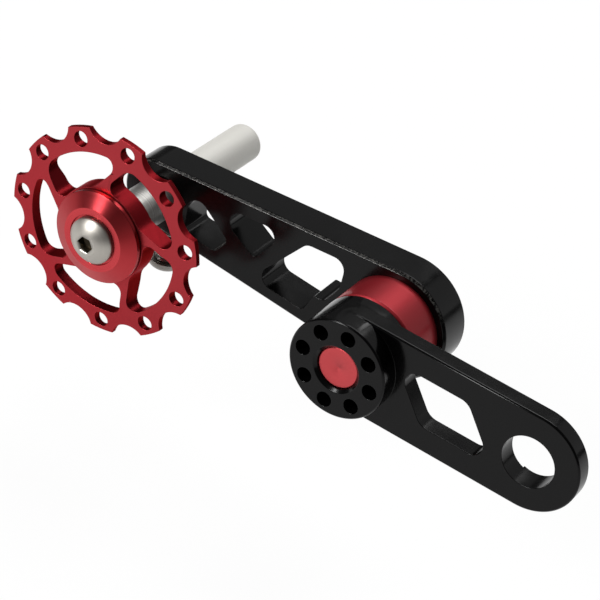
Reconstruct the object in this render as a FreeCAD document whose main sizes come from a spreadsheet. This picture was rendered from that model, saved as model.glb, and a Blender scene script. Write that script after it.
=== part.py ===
"""Sprung chain guide: a hanger arm, a sprung main arm, and one toothed pulley on a sliding shaft.

The origin is on the axis of the bore that bolts to the frame, on the front face of the hanger plate.
X runs along the arms, away from the pulley. Y runs along every pivot, away from the chain side. Z is up.
All sizes are in millimetres.
"""
import FreeCAD, Part
import math
import os
import re

import Sketcher

SIZES = {
    # Hanger arm: a flat plate with a thick pivot boss at one end and the frame bore at the other
    "hanger_centres": 38.2,
    "plate_thick": 3.8,
    "plate_radius": 10.1,
    "frame_bore_radius": 5.2,
    "collar_radius": 7.2,
    "collar_height": 1.0,
    "collar_step": 0.5,
    "collar_step_from": 96,
    "collar_step_to": 251,
    "boss_radius": 10.0,
    "boss_front": 4.0,
    "boss_rear": 6.2,
    "spring_hole_radius": 1.5,
    "spring_hole_circle": 7.45,
    "spring_hole_count": 8,
    "spring_hole_phase": 174,
    "bore_chamfer": 0.6,
    "hanger_window_start": 9.4,
    "hanger_window_end": 6.2,
    "hanger_window_half": 5.0,
    "hanger_window_slant": 7.6,
    "hanger_window_tight": 2.4,
    "hanger_window_wide": 3.0,
    "edge_break": 0.3,
    # Pivot between the two arms
    "pin_radius": 4.25,
    "pin_recess": 0.8,
    "pin_edge": 0.3,
    "press_clearance": 0.01,
    "running_clearance": 0.04,
    "thrust_washer_radius": 6.2,
    "thrust_washer_thick": 0.8,
    "side_clearance": 0.3,
    "bush_radius": 5.75,
    "pivot_washer_radius": 7.5,
    "pivot_washer_thick": 1.2,
    "pivot_thread_radius": 2.97,
    "pivot_thread_length": 12,
    "pivot_head_radius": 5.25,
    "pivot_head_height": 3.3,
    "pivot_head_dome": 2.6,
    "pivot_socket_flats": 4.0,
    "pivot_socket_depth": 2.0,
    # Spring and the tube around it
    "barrel_radius": 10.0,
    "barrel_wall": 1.2,
    "barrel_length": 9.0,
    "barrel_lip": 0.5,
    "wire_radius": 0.8,
    "spring_turns": 3.25,
    "spring_pitch": 1.8,
    "spring_leg": 4.0,
    "spring_leg_clearance": 0.2,
    # Main arm: a tapered bar with three truss windows
    "arm_centres": 53.9,
    "arm_thick": 8.0,
    "arm_pivot_radius": 11.6,
    "arm_shaft_radius": 7.2,
    "arm_end_reach": 1.3,
    "arm_edge_break": 0.5,
    "arm_rim": 3.1,
    "truss_corner": 1.2,
    "truss_round": 2.4,
    "bay_a_outer": 0.878,
    "bay_a_inner": 0.690,
    "bay_a_foot": 0.735,
    "bay_a_peak": 5.9,
    "bay_b_outer": 0.797,
    "bay_b_inner": 0.469,
    "bay_b_foot": 0.574,
    "bay_b_drop": 2.1,
    "truss_node_height": 1.7,
    "bay_c_rim": 2.8,
    "bay_c_top": 0.384,
    "bay_c_foot": 0.566,
    "bay_c_heel": 0.340,
    "bay_c_cusp": 0.310,
    "bay_c_lobe": 0.262,
    "bay_c_ring": 0.222,
    "cusp_height": 3.0,
    "cusp_round": 0.6,
    # Shaft that carries the pulley and slides in the main arm
    "shaft_radius": 4.0,
    "shaft_collar_radius": 4.4,
    "shaft_stick_out": 22.1,
    "shaft_end_round": 0.8,
    "sliding_clearance": 0.03,
    "thread_clearance": 0.03,
    "shaft_thread_depth": 12,
    "clamp_screw_length": 11.2,
    "clamp_gap": 0.1,
    "clamp_offset": 1.7,
    "clamp_head_radius": 3.8,
    "clamp_head_height": 2.2,
    "clamp_head_dome": 1.8,
    "clamp_socket_depth": 1.4,
    # Button-head screw of the pulley; the clamp screw has the same thread
    "screw_radius": 2.47,
    "screw_hole_radius": 2.5,
    "screw_length": 16,
    "screw_tip": 0.4,
    "head_radius": 4.75,
    "head_height": 2.75,
    "head_dome": 2.2,
    "socket_flats": 3.0,
    "socket_depth": 1.7,
    "socket_phase": 5,
    # Toothed pulley
    "chain_line": -1.7,
    "tooth_count": 11,
    "tooth_phase": 115.6,
    "tip_radius": 21.45,
    "tip_thick": 0.7,
    "bevel_width": 2.05,
    "seat_radius": 3.45,
    "seat_drop": 0.385,
    "tooth_hole_rim_wall": 0.85,
    "tooth_hole_tip_wall": 0.9,
    "rim_thick": 2.2,
    "rim_inner_radius": 16.6,
    "hub_radius": 9.8,
    "hub_thick": 4.2,
    "spoke_count": 5,
    "spoke_width": 2.3,
    "spoke_offset": 7.43,
    "spoke_angle": 57,
    "window_corner": 1.8,
    "window_root": 3.5,
    # Sealed ball bearing in the pulley's hub
    "bearing_bore": 2.5,
    "bearing_radius": 6.5,
    "bearing_width": 4.0,
    "inner_ring_radius": 3.75,
    "outer_ring_radius": 5.25,
    "ball_circle": 4.5,
    "ball_radius": 1.0,
    "ball_count": 7,
    "race_clearance": 0.03,
    "cage_inner_radius": 4.1,
    "cage_outer_radius": 4.9,
    "cage_width": 2.8,
    "pocket_clearance": 0.08,
    "seal_thick": 0.3,
    "seal_inset": 0.05,
    "seal_gap": 0.1,
    # Turned caps on both sides of the hub
    "cap_radius": 9.0,
    "cap_edge": 0.25,
    "cap_face_radius": 6.4,
    "cap_height": 2.2,
    "cap_gap": 0.25,
    "cap_land_radius": 3.4,
    "cap_bore_radius": 2.6,
    "cap_counterbore_radius": 5.0,
    "cap_counterbore_depth": 0.45,
}

# An edge lies in a plane, and two points are one, within this distance
FLUSH = 1e-4
UP = FreeCAD.Vector(0, 0, 1)

doc = FreeCAD.newDocument("chain_guide")
sheet = doc.addObject("Spreadsheet::Sheet", "Sizes")
for row, (name, size) in enumerate(SIZES.items(), start=1):
    sheet.set(f"A{row}", name)
    sheet.set(f"B{row}", str(size))
    sheet.setAlias(f"B{row}", name)
doc.recompute()
sub_parts = []


def formula(words):
    """Point each size name in a formula at its cell in the sheet."""
    return re.sub(r"[a-z_]+", lambda word: "Sizes." + word[0] if word[0] in SIZES else word[0], words)


def value(words):
    """Work out a formula of size names as a number."""
    return float(sheet.evalExpression(formula(words)))


def bind(thing, prop, words):
    """Tie a property of a document object to a formula of size names."""
    thing.setExpression(prop, formula(words))


def place(thing, x, y, z="0", rotation=FreeCAD.Rotation()):
    """Put an object's own origin at a place given by formulas."""
    thing.Placement = FreeCAD.Placement(FreeCAD.Vector(), rotation)
    for axis, words in zip("xyz", (x, y, z)):
        bind(thing, "Placement.Base." + axis, words)


def new_body(label, x, y, z="0", rotation=FreeCAD.Rotation()):
    """Start a sub-part made of sketches and features."""
    body = doc.addObject("PartDesign::Body", label)
    body.Label = label
    place(body, x, y, z, rotation)
    sub_parts.append(body)
    return body


def new_sketch(body, name, plane, depth="0"):
    """Start a sketch on an origin plane of a body, moved along the plane's normal by a formula."""
    sketch = body.newObject("Sketcher::SketchObject", f"{body.Label}_{name}_sketch")
    support = [feature for feature in body.Origin.OriginFeatures if feature.Role == plane]
    sketch.AttachmentSupport = [(support[0], "")]
    sketch.MapMode = "FlatFace"
    bind(sketch, "AttachmentOffset.Base.z", depth)
    return sketch


def face_sketch(body, name, y="0"):
    """Start a sketch seen from the front, with X to the right and Z up, at a place along Y."""
    return new_sketch(body, name, "XZ_Plane", f"-({y})")


def measure(sketch, kind, words, *where):
    """Add a sketch dimension that is tied to a formula."""
    number = sketch.addConstraint(Sketcher.Constraint(kind, *where, value(words)))
    bind(sketch, f"Constraints[{number}]", words)


def slope(sketch, words, line):
    """Add a line's angle from the sketch's first axis, in degrees."""
    number = sketch.addConstraint(Sketcher.Constraint("Angle", line, math.radians(value(words))))
    bind(sketch, f"Constraints[{number}]", f"({words}) * 1 deg")


def fix_point(sketch, geometry, point, x, y):
    """Dimension a point from the sketch's origin."""
    measure(sketch, "DistanceX", x, -1, 1, geometry, point)
    measure(sketch, "DistanceY", y, -1, 1, geometry, point)


def vector(x, y):
    return FreeCAD.Vector(x, y, 0)


def circle(sketch, x, y, radius):
    """Draw a circle with its centre and radius dimensioned."""
    centre = vector(value(x), value(y))
    number = sketch.addGeometry(Part.Circle(centre, UP, value(radius)))
    fix_point(sketch, number, 3, x, y)
    measure(sketch, "Radius", radius, number)


def arc_between(centre, radius, start, stop):
    """Make the shorter arc of a circle between two of its points, always drawn anticlockwise."""
    first = math.atan2(start.y - centre.y, start.x - centre.x)
    last = math.atan2(stop.y - centre.y, stop.x - centre.x)
    if (last - first) % (2 * math.pi) > math.pi:
        first, last = last, first
    return Part.ArcOfCircle(Part.Circle(centre, UP, radius), first, last)


def outline(sketch, corners):
    """Draw a closed outline of straight sides from corners (x, y, radius), rounded unless the radius is 0."""
    points = [vector(value(x), value(y)) for x, y, radius in corners]
    ends = []
    for here, point in enumerate(points):
        radius = value(corners[here][2])
        back = (points[here - 1] - point).normalize()
        ahead = (points[(here + 1) % len(points)] - point).normalize()
        half_turn = back.getAngle(ahead) / 2
        reach = radius / math.tan(half_turn)
        centre = point + (back + ahead).normalize() * (radius / math.sin(half_turn))
        ends.append((point + back * reach, centre, point + ahead * reach))
    sides = []
    for here in range(len(points)):
        start = ends[here][2]
        stop = ends[(here + 1) % len(points)][0]
        sides.append(sketch.addGeometry(Part.LineSegment(start, stop)))
    for here, (x, y, radius) in enumerate(corners):
        before, after = sides[here - 1], sides[here]
        if value(radius) == 0:
            sketch.addConstraint(Sketcher.Constraint("Coincident", before, 2, after, 1))
            fix_point(sketch, after, 1, x, y)
            continue
        start, centre, stop = ends[here]
        arc = sketch.addGeometry(arc_between(centre, value(radius), start, stop))
        first = 1 if sketch.Geometry[arc].StartPoint.isEqual(start, FLUSH) else 2
        sketch.addConstraint(Sketcher.Constraint("Tangent", before, 2, arc, first))
        sketch.addConstraint(Sketcher.Constraint("Tangent", arc, 3 - first, after, 1))
        measure(sketch, "Radius", radius, arc)
        corner = sketch.addGeometry(Part.Point(points[here]), True)
        sketch.addConstraint(Sketcher.Constraint("PointOnObject", corner, 1, before))
        sketch.addConstraint(Sketcher.Constraint("PointOnObject", corner, 1, after))
        fix_point(sketch, corner, 1, x, y)


def sharp(*corners):
    """Give corners (x, y) no rounding."""
    return [(x, y, "0") for x, y in corners]


def strap(sketch, left, left_radius, right, right_radius):
    """Draw two round ends joined by the two straight lines that touch both."""
    left_centre = vector(value(left), 0)
    right_centre = vector(value(right), 0)
    lean = (value(left_radius) - value(right_radius)) / (right_centre.x - left_centre.x)
    angle = math.acos(lean)
    left_circle = Part.Circle(left_centre, UP, value(left_radius))
    right_circle = Part.Circle(right_centre, UP, value(right_radius))
    left_arc = Part.ArcOfCircle(left_circle, angle, 2 * math.pi - angle)
    right_arc = Part.ArcOfCircle(right_circle, -angle, angle)
    left_end = sketch.addGeometry(left_arc)
    right_end = sketch.addGeometry(right_arc)
    top = sketch.addGeometry(Part.LineSegment(left_arc.StartPoint, right_arc.EndPoint))
    bottom = sketch.addGeometry(Part.LineSegment(right_arc.StartPoint, left_arc.EndPoint))
    sketch.addConstraint(Sketcher.Constraint("Tangent", top, 1, left_end, 1))
    sketch.addConstraint(Sketcher.Constraint("Tangent", top, 2, right_end, 2))
    sketch.addConstraint(Sketcher.Constraint("Tangent", bottom, 1, right_end, 1))
    sketch.addConstraint(Sketcher.Constraint("Tangent", bottom, 2, left_end, 2))
    fix_point(sketch, left_end, 3, left, "0")
    fix_point(sketch, right_end, 3, right, "0")
    measure(sketch, "Radius", left_radius, left_end)
    measure(sketch, "Radius", right_radius, right_end)


def pad(body, sketch, length):
    """Raise a sketch towards the front."""
    feature = body.newObject("PartDesign::Pad", sketch.Name.replace("_sketch", "_pad"))
    feature.Profile = sketch
    bind(feature, "Length", length)
    doc.recompute()
    return feature


def pocket(body, sketch, length=None):
    """Cut a sketch right through, or towards the back to a depth."""
    feature = body.newObject("PartDesign::Pocket", sketch.Name.replace("_sketch", "_pocket"))
    feature.Profile = sketch
    if length is None:
        feature.Type = "ThroughAll"
        feature.SideType = "Symmetric"
    else:
        bind(feature, "Length", length)
    doc.recompute()
    return feature


def ring_of(body, feature, count):
    """Repeat a feature evenly round the axis of its sketch."""
    pattern = body.newObject("PartDesign::PolarPattern", feature.Name + "_ring")
    pattern.Originals = [feature]
    pattern.Axis = (feature.Profile[0], ["N_Axis"])
    pattern.Angle = 360
    bind(pattern, "Occurrences", count)
    body.Tip = pattern
    doc.recompute()
    return pattern


def turned(body, name, corners):
    """Turn a profile of corners (radius, y, rounding) about the body's Y axis."""
    sketch = new_sketch(body, name, "XY_Plane")
    outline(sketch, corners)
    feature = body.newObject("PartDesign::Revolution", f"{body.Label}_{name}")
    feature.Profile = sketch
    feature.ReferenceAxis = (sketch, ["V_Axis"])
    feature.Angle = 360
    doc.recompute()
    return feature


def break_edges(body, feature, y, size):
    """Chamfer every edge of a feature that lies in the plane at y."""
    level = value(y)
    edges = []
    for number, edge in enumerate(feature.Shape.Edges, start=1):
        box = edge.BoundBox
        if abs(box.YMin - level) < FLUSH and abs(box.YMax - level) < FLUSH:
            edges.append(f"Edge{number}")
    chamfer = body.newObject("PartDesign::Chamfer", f"{feature.Name}_break")
    chamfer.Base = (feature, edges)
    bind(chamfer, "Size", size)
    doc.recompute()
    return chamfer


def polar(radius, angle):
    """Give the two formulas of a point at a radius and an angle in degrees."""
    return f"({radius}) * cos({angle})", f"({radius}) * sin({angle})"


PIVOT = "-hanger_centres"
WHEEL = "-hanger_centres - arm_centres"
ARM_FRONT = "boss_rear + side_clearance + barrel_length"
ARM_MIDDLE = ARM_FRONT + " + arm_thick / 2"
ARM_REAR = ARM_FRONT + " + arm_thick"
PIN_REAR = ARM_REAR + " + side_clearance"
HUB_FRONT = "chain_line - hub_thick / 2"
HUB_REAR = "chain_line + hub_thick / 2"
CAP_LAND = "cap_gap + (hub_thick - bearing_width) / 2"
SHAFT_FRONT = HUB_REAR + " + cap_gap + cap_height"


def make_hanger_arm():
    """Plate, pivot boss and frame bore, milled from one bar, with a low stepped collar behind the bore."""
    body = new_body("hanger_arm", "0", "0")
    plate = face_sketch(body, "plate", "plate_thick")
    strap(plate, PIVOT, "plate_radius", "0", "plate_radius")
    slab = pad(body, plate, "plate_thick")
    slab = break_edges(body, slab, "0", "edge_break")
    break_edges(body, slab, "plate_thick", "edge_break")

    collar = face_sketch(body, "collar", "plate_thick + collar_height")
    circle(collar, "0", "0", "collar_radius")
    pad(body, collar, "collar_height + plate_thick / 2")

    boss = face_sketch(body, "boss", "boss_rear")
    circle(boss, PIVOT, "0", "boss_radius")
    turned_boss = pad(body, boss, "boss_front + boss_rear")
    break_edges(body, turned_boss, "-boss_front", "edge_break")

    step = face_sketch(body, "step", "plate_thick + collar_height - collar_step")
    reach = "collar_radius + collar_height"
    first = polar(reach, "collar_step_from")
    corner = polar(f"({reach}) / cos((collar_step_to - collar_step_from) / 4)",
                   "collar_step_from + (collar_step_to - collar_step_from) / 4")
    middle = polar(reach, "(collar_step_from + collar_step_to) / 2")
    far_corner = polar(f"({reach}) / cos((collar_step_to - collar_step_from) / 4)",
                       "collar_step_to - (collar_step_to - collar_step_from) / 4")
    last = polar(reach, "collar_step_to")
    outline(step, sharp(("0", "0"), first, corner, middle, far_corner, last))
    pocket(body, step, "collar_height")

    window = face_sketch(body, "window")
    low = "-hanger_window_half"
    outline(window, [
        (f"{PIVOT} + hanger_window_start", "hanger_window_half", "hanger_window_tight"),
        ("-hanger_window_end - hanger_window_slant", "hanger_window_half", "hanger_window_wide"),
        ("-hanger_window_end", low, "hanger_window_tight"),
        (f"{PIVOT} + hanger_window_start + hanger_window_slant", low, "hanger_window_wide"),
    ])
    pocket(body, window)

    bores = face_sketch(body, "bores")
    circle(bores, "0", "0", "frame_bore_radius")
    circle(bores, PIVOT, "0", "pin_radius + press_clearance")
    drilled = pocket(body, bores)

    countersink = body.newObject("PartDesign::Chamfer", "hanger_arm_pin_mouth")
    face, width = value("-boss_front"), 2 * value("pin_radius + press_clearance")
    mouth = [f"Edge{number}" for number, edge in enumerate(drilled.Shape.Edges, start=1)
             if abs(edge.BoundBox.YMax - face) < FLUSH and abs(edge.BoundBox.XLength - width) < FLUSH]
    countersink.Base = (drilled, mouth)
    bind(countersink, "Size", "bore_chamfer")
    doc.recompute()

    hole = face_sketch(body, "spring_hole")
    bind(hole, "AttachmentOffset.Base.x", PIVOT)
    circle(hole, *polar("spring_hole_circle", "spring_hole_phase"), "spring_hole_radius")
    ring_of(body, pocket(body, hole), "spring_hole_count")


def make_pivot():
    """Red pin pressed in the boss, and the bush, washers and screw that hold the main arm on it."""
    pin = new_body("pivot_pin", PIVOT, "-boss_front + pin_recess")
    length = f"{PIN_REAR} + boss_front - pin_recess"
    turned(pin, "turned", [
        ("0", "0", "0"),
        ("pin_radius - pin_edge", "0", "0"),
        ("pin_radius", "pin_edge", "0"),
        ("pin_radius", length, "0"),
        ("pivot_thread_radius + thread_clearance", length, "0"),
        ("pivot_thread_radius + thread_clearance", f"{length} - pivot_thread_length - side_clearance", "0"),
        ("0", f"{length} - pivot_thread_length - side_clearance", "0"),
    ])

    ring("thrust_washer", "boss_rear", "pin_radius + running_clearance", "thrust_washer_radius",
         "thrust_washer_thick")
    bush_front = "boss_rear + thrust_washer_thick + side_clearance"
    ring("pivot_bush", bush_front, "pin_radius + running_clearance", "bush_radius",
         f"{ARM_REAR} - ({bush_front})")
    ring("pivot_washer", PIN_REAR, "pivot_thread_radius + thread_clearance", "pivot_washer_radius",
         "pivot_washer_thick")
    button_screw("pivot_screw", PIVOT, f"{PIN_REAR} + pivot_washer_thick", "0",
                 FreeCAD.Rotation(UP, 180), "pivot_thread_radius",
                 "pivot_thread_length + pivot_washer_thick", "pivot_head_radius", "pivot_head_height",
                 "pivot_head_dome", "pivot_socket_flats", "pivot_socket_depth")


def ring(label, y, inner, outer, thick):
    """Turn a plain washer or tube on the pivot's axis."""
    body = new_body(label, PIVOT, y)
    turned(body, "turned", sharp((inner, "0"), (outer, "0"), (outer, thick), (inner, thick)))


def button_screw(label, x, y, z, rotation, radius, length, head, height, dome, flats, depth):
    """Screw with a domed head towards its own -Y and a six-sided socket; the head seats at its origin."""
    body = new_body(label, x, y, z, rotation)
    turned(body, "turned", [
        ("0", f"-{height}", "0"),
        (head, f"-{height}", dome),
        (head, "0", "0"),
        (radius, "0", "0"),
        (radius, f"{length} - screw_tip", "0"),
        (f"{radius} - screw_tip", length, "0"),
        ("0", length, "0"),
    ])
    socket = face_sketch(body, "socket", f"-{height}")
    corners = [polar(f"{flats} / sqrt(3)", f"socket_phase + {turn}") for turn in range(0, 360, 60)]
    outline(socket, sharp(*corners))
    pocket(body, socket, depth)


def make_spring():
    """Red tube between the arms, and the wound spring inside it with a leg in each arm."""
    barrel = new_body("spring_barrel", PIVOT, "boss_rear + side_clearance")
    inner = "barrel_radius - barrel_wall"
    turned(barrel, "turned", sharp(
        (inner, "0"),
        ("barrel_radius - barrel_lip", "0"),
        ("barrel_radius", "barrel_lip"),
        ("barrel_radius", "barrel_length"),
        (inner, "barrel_length")))

    turn = FreeCAD.Rotation(FreeCAD.Vector(0, 1, 0), -value("spring_hole_phase"))
    room = "side_clearance + barrel_length"
    coil_height = "spring_turns * spring_pitch"
    first = f"({room} - {coil_height}) / 2"
    spring = new_body("torsion_spring", PIVOT, f"boss_rear + {first}", "0", turn)
    section = new_sketch(spring, "wire", "XY_Plane")
    circle(section, "spring_hole_circle", "0", "wire_radius")
    coil = spring.newObject("PartDesign::AdditiveHelix", "torsion_spring_coil")
    coil.Profile = section
    coil.ReferenceAxis = (section, ["V_Axis"])
    coil.Mode = "pitch-turns-angle"
    bind(coil, "Pitch", "spring_pitch")
    bind(coil, "Turns", "spring_turns")
    doc.recompute()

    front_leg = face_sketch(spring, "front_leg")
    circle(front_leg, "spring_hole_circle", "0", "wire_radius")
    pad(spring, front_leg, f"{first} + spring_leg")
    rear_leg = face_sketch(spring, "rear_leg", f"{room} - {first} + spring_leg")
    circle(rear_leg, *polar("spring_hole_circle", "-360 * spring_turns"), "wire_radius")
    pad(spring, rear_leg, f"{first} + spring_leg")


def arm_edge(share, rim="arm_rim"):
    """Give the height of the main arm's straight edge, less a rim, at a share of the way to the shaft."""
    span = "(arm_centres + arm_end_reach)"
    lean = f"((arm_pivot_radius - arm_shaft_radius) / {span})"
    return f"(arm_pivot_radius - {share} * arm_centres * {lean}) / sqrt(1 - {lean} ^ 2) - {rim}"


def along(share):
    """Give the place along the main arm at a share of the way from the pivot to the shaft."""
    return f"-{share} * arm_centres"


def make_main_arm():
    """Tapered bar with three windows that leave slanted struts, like a truss, between pivot and shaft."""
    body = new_body("main_arm", PIVOT, ARM_FRONT)
    bar = face_sketch(body, "bar", "arm_thick")
    strap(bar, "-arm_centres - arm_end_reach", "arm_shaft_radius", "0", "arm_pivot_radius")
    slab = pad(body, bar, "arm_thick")
    slab = break_edges(body, slab, "0", "arm_edge_break")
    break_edges(body, slab, "arm_thick", "arm_edge_break")

    bay_a = face_sketch(body, "bay_a")
    outline(bay_a, [
        (along("bay_a_outer"), "bay_a_peak", "truss_round"),
        (along("bay_a_inner"), "-truss_node_height", "truss_corner"),
        (along("bay_a_foot"), f"-({arm_edge('bay_a_foot')})", "truss_corner"),
        (along("bay_a_outer"), f"-({arm_edge('bay_a_outer')})", "truss_corner"),
    ])
    pocket(body, bay_a)

    bay_b = face_sketch(body, "bay_b")
    outline(bay_b, [
        (along("bay_b_outer"), arm_edge("bay_b_outer"), "truss_round"),
        (along("bay_b_inner"), arm_edge("bay_b_inner"), "truss_round"),
        (along("bay_b_foot"), "-bay_b_drop", "truss_corner"),
    ])
    pocket(body, bay_b)

    bay_c = face_sketch(body, "bay_c")
    outline(bay_c, [
        (along("bay_c_top"), arm_edge("bay_c_top"), "truss_round"),
        (along("bay_c_foot"), f"-({arm_edge('bay_c_foot', 'bay_c_rim')})", "truss_round"),
        (along("bay_c_heel"), f"-({arm_edge('bay_c_heel', 'bay_c_rim')})", "truss_corner"),
        (along("bay_c_cusp"), "-cusp_height", "cusp_round"),
        (along("bay_c_lobe"), "-cusp_height", "truss_round"),
        (along("bay_c_ring"), "truss_node_height", "truss_round"),
        (along("bay_c_ring"), arm_edge("bay_c_ring"), "truss_round"),
    ])
    pocket(body, bay_c)

    bores = face_sketch(body, "bores")
    circle(bores, "0", "0", "bush_radius + press_clearance")
    circle(bores, "-arm_centres", "0", "shaft_radius + sliding_clearance")
    pocket(body, bores)

    leg = face_sketch(body, "spring_leg")
    leg_angle = "spring_hole_phase - 360 * spring_turns"
    circle(leg, *polar("spring_hole_circle", leg_angle), "wire_radius + spring_leg_clearance")
    pocket(body, leg, "spring_leg + spring_leg_clearance")

    thread = new_sketch(body, "clamp_thread", "XY_Plane")
    circle(thread, "clamp_offset - arm_centres", "arm_thick / 2", "screw_radius + thread_clearance")
    tapped = body.newObject("PartDesign::Pocket", "main_arm_clamp_thread")
    tapped.Profile = thread
    tapped.Type = "ThroughAll"
    doc.recompute()


def make_shaft():
    """Round shaft with a collar behind the pulley, and the screw under the arm that clamps it."""
    body = new_body("pulley_shaft", WHEEL, SHAFT_FRONT)
    collar_end = f"{ARM_FRONT} - side_clearance - ({SHAFT_FRONT})"
    length = f"{ARM_REAR} + shaft_stick_out - ({SHAFT_FRONT})"
    turned(body, "turned", [
        ("screw_hole_radius", "0", "0"),
        ("shaft_collar_radius", "0", "0"),
        ("shaft_collar_radius", collar_end, "0"),
        ("shaft_radius", collar_end, "0"),
        ("shaft_radius", length, "shaft_end_round"),
        ("0", length, "0"),
        ("0", "shaft_thread_depth", "0"),
        ("screw_hole_radius", "shaft_thread_depth", "0"),
    ])
    seat = "-shaft_radius - clamp_gap - clamp_screw_length"
    button_screw("clamp_screw", f"{WHEEL} + clamp_offset", ARM_MIDDLE, seat,
                 FreeCAD.Rotation(FreeCAD.Vector(1, 0, 0), 90), "screw_radius", "clamp_screw_length",
                 "clamp_head_radius", "clamp_head_height", "clamp_head_dome", "socket_flats",
                 "clamp_socket_depth")


def make_wheel():
    """Toothed pulley turned from plate: bevelled teeth with a hole in each, slanted spokes, a raised hub."""
    body = new_body("jockey_wheel", WHEEL, "chain_line")
    bore = "bearing_radius + press_clearance"
    front = [
        (bore, "-hub_thick / 2"),
        ("hub_radius", "-hub_thick / 2"),
        ("rim_inner_radius", "-rim_thick / 2"),
        ("tip_radius - bevel_width", "-rim_thick / 2"),
        ("tip_radius", "-tip_thick / 2"),
    ]
    rear = [(radius, y[1:]) for radius, y in reversed(front)]
    turned(body, "blank", sharp(*front, *rear))

    seat = face_sketch(body, "seat")
    seat_bottom = "(rim_inner_radius + tip_radius) / 2 - seat_drop"
    half_pitch = "tooth_phase + 180 / tooth_count"
    circle(seat, *polar(f"{seat_bottom} + seat_radius", half_pitch), "seat_radius")
    ring_of(body, pocket(body, seat), "tooth_count")
    hole = face_sketch(body, "hole")
    hole_low = "(rim_inner_radius + tooth_hole_rim_wall)"
    hole_high = "(tip_radius - tooth_hole_tip_wall)"
    circle(hole, *polar(f"({hole_low} + {hole_high}) / 2", "tooth_phase"), f"({hole_high} - {hole_low}) / 2")
    ring_of(body, pocket(body, hole), "tooth_count")
    window = face_sketch(body, "window")
    wheel_window(window)
    ring_of(body, pocket(body, window), "spoke_count")


def wheel_window(sketch):
    """Draw one window: two arcs round the hub, and the sides of two spokes that pass beside the axis."""
    outer, inner = value("rim_inner_radius"), value("hub_radius")
    corner, root = value("window_corner"), value("window_root")
    trail_words = "spoke_angle + 360 / spoke_count"
    lead_angle, trail_angle = (math.radians(value(words)) for words in ("spoke_angle", trail_words))
    lead_words, trail_side_words = "spoke_offset + spoke_width / 2", "spoke_offset - spoke_width / 2"
    lead, trail = value(lead_words), value(trail_side_words)

    def beside(angle, side, radius):
        """Find the point at a radius from the axis on a line that passes the axis at an offset."""
        distance = math.sqrt(radius ** 2 - side ** 2)
        return (vector(math.cos(angle), math.sin(angle)) * distance
                + vector(-math.sin(angle), math.cos(angle)) * side)

    lead_normal = vector(-math.sin(lead_angle), math.cos(lead_angle))
    trail_normal = vector(-math.sin(trail_angle), math.cos(trail_angle))
    lead_top = beside(lead_angle, lead + corner, outer - corner)
    trail_top = beside(trail_angle, trail - corner, outer - corner)
    trail_foot = beside(trail_angle, trail - corner, inner + corner)
    lead_foot = beside(lead_angle, lead + root, inner + root)
    rim_lead, rim_trail, hub_trail, hub_lead = (
        centre * (radius / centre.Length) for centre, radius in
        ((lead_top, outer), (trail_top, outer), (trail_foot, inner), (lead_foot, inner)))
    side_a = sketch.addGeometry(Part.LineSegment(lead_foot - lead_normal * root,
                                                 lead_top - lead_normal * corner))
    side_b = sketch.addGeometry(Part.LineSegment(trail_foot + trail_normal * corner,
                                                 trail_top + trail_normal * corner))
    arcs = [sketch.addGeometry(arc_between(centre, radius, start, stop)) for centre, radius, start, stop in (
        (vector(0, 0), outer, rim_lead, rim_trail),
        (vector(0, 0), inner, hub_lead, hub_trail),
        (lead_top, corner, lead_top - lead_normal * corner, rim_lead),
        (trail_top, corner, rim_trail, trail_top + trail_normal * corner),
        (trail_foot, corner, trail_foot + trail_normal * corner, hub_trail),
        (lead_foot, root, hub_lead, lead_foot - lead_normal * root))]
    rim, hub, corner_a, corner_b, corner_c, corner_d = arcs
    for joint in ((side_a, 2, corner_a, 1), (corner_a, 2, rim, 1), (rim, 2, corner_b, 1),
                  (corner_b, 2, side_b, 2), (side_b, 1, corner_c, 1), (corner_c, 2, hub, 2),
                  (hub, 1, corner_d, 1), (corner_d, 2, side_a, 1)):
        sketch.addConstraint(Sketcher.Constraint("Tangent", *joint))
    for arc in (rim, hub):
        sketch.addConstraint(Sketcher.Constraint("Coincident", arc, 3, -1, 1))
    for arc, words in zip(arcs, ("rim_inner_radius", "hub_radius", "window_corner", "window_corner",
                                 "window_corner", "window_root")):
        measure(sketch, "Radius", words, arc)
    measure(sketch, "Distance", lead_words, -1, 1, side_a)
    measure(sketch, "Distance", trail_side_words, -1, 1, side_b)
    slope(sketch, "spoke_angle", side_a)
    slope(sketch, trail_words, side_b)


def make_caps():
    """Turned cone caps that clamp the bearing's inner ring between the screw head and the shaft."""
    front = new_body("front_cap", WHEEL, f"{HUB_FRONT} - cap_gap", "0",
                     FreeCAD.Rotation(UP, 180))
    seat = "cap_height - cap_counterbore_depth"
    cone = [
        ("cap_bore_radius", f"-({CAP_LAND})"),
        ("cap_land_radius", f"-({CAP_LAND})"),
        ("cap_land_radius", "0"),
        ("cap_radius", "0"),
        ("cap_radius", "cap_edge"),
        ("cap_face_radius", "cap_height"),
    ]
    turned(front, "turned", sharp(
        *cone,
        ("cap_counterbore_radius", "cap_height"),
        ("cap_counterbore_radius", seat),
        ("cap_bore_radius", seat)))
    rear = new_body("rear_cap", WHEEL, f"{HUB_REAR} + cap_gap")
    turned(rear, "turned", sharp(*cone, ("cap_bore_radius", "cap_height")))
    button_screw("wheel_screw", WHEEL, f"{HUB_FRONT} - cap_gap - ({seat})", "0", FreeCAD.Rotation(),
                 "screw_radius", "screw_length", "head_radius", "head_height", "head_dome",
                 "socket_flats", "socket_depth")


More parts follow.
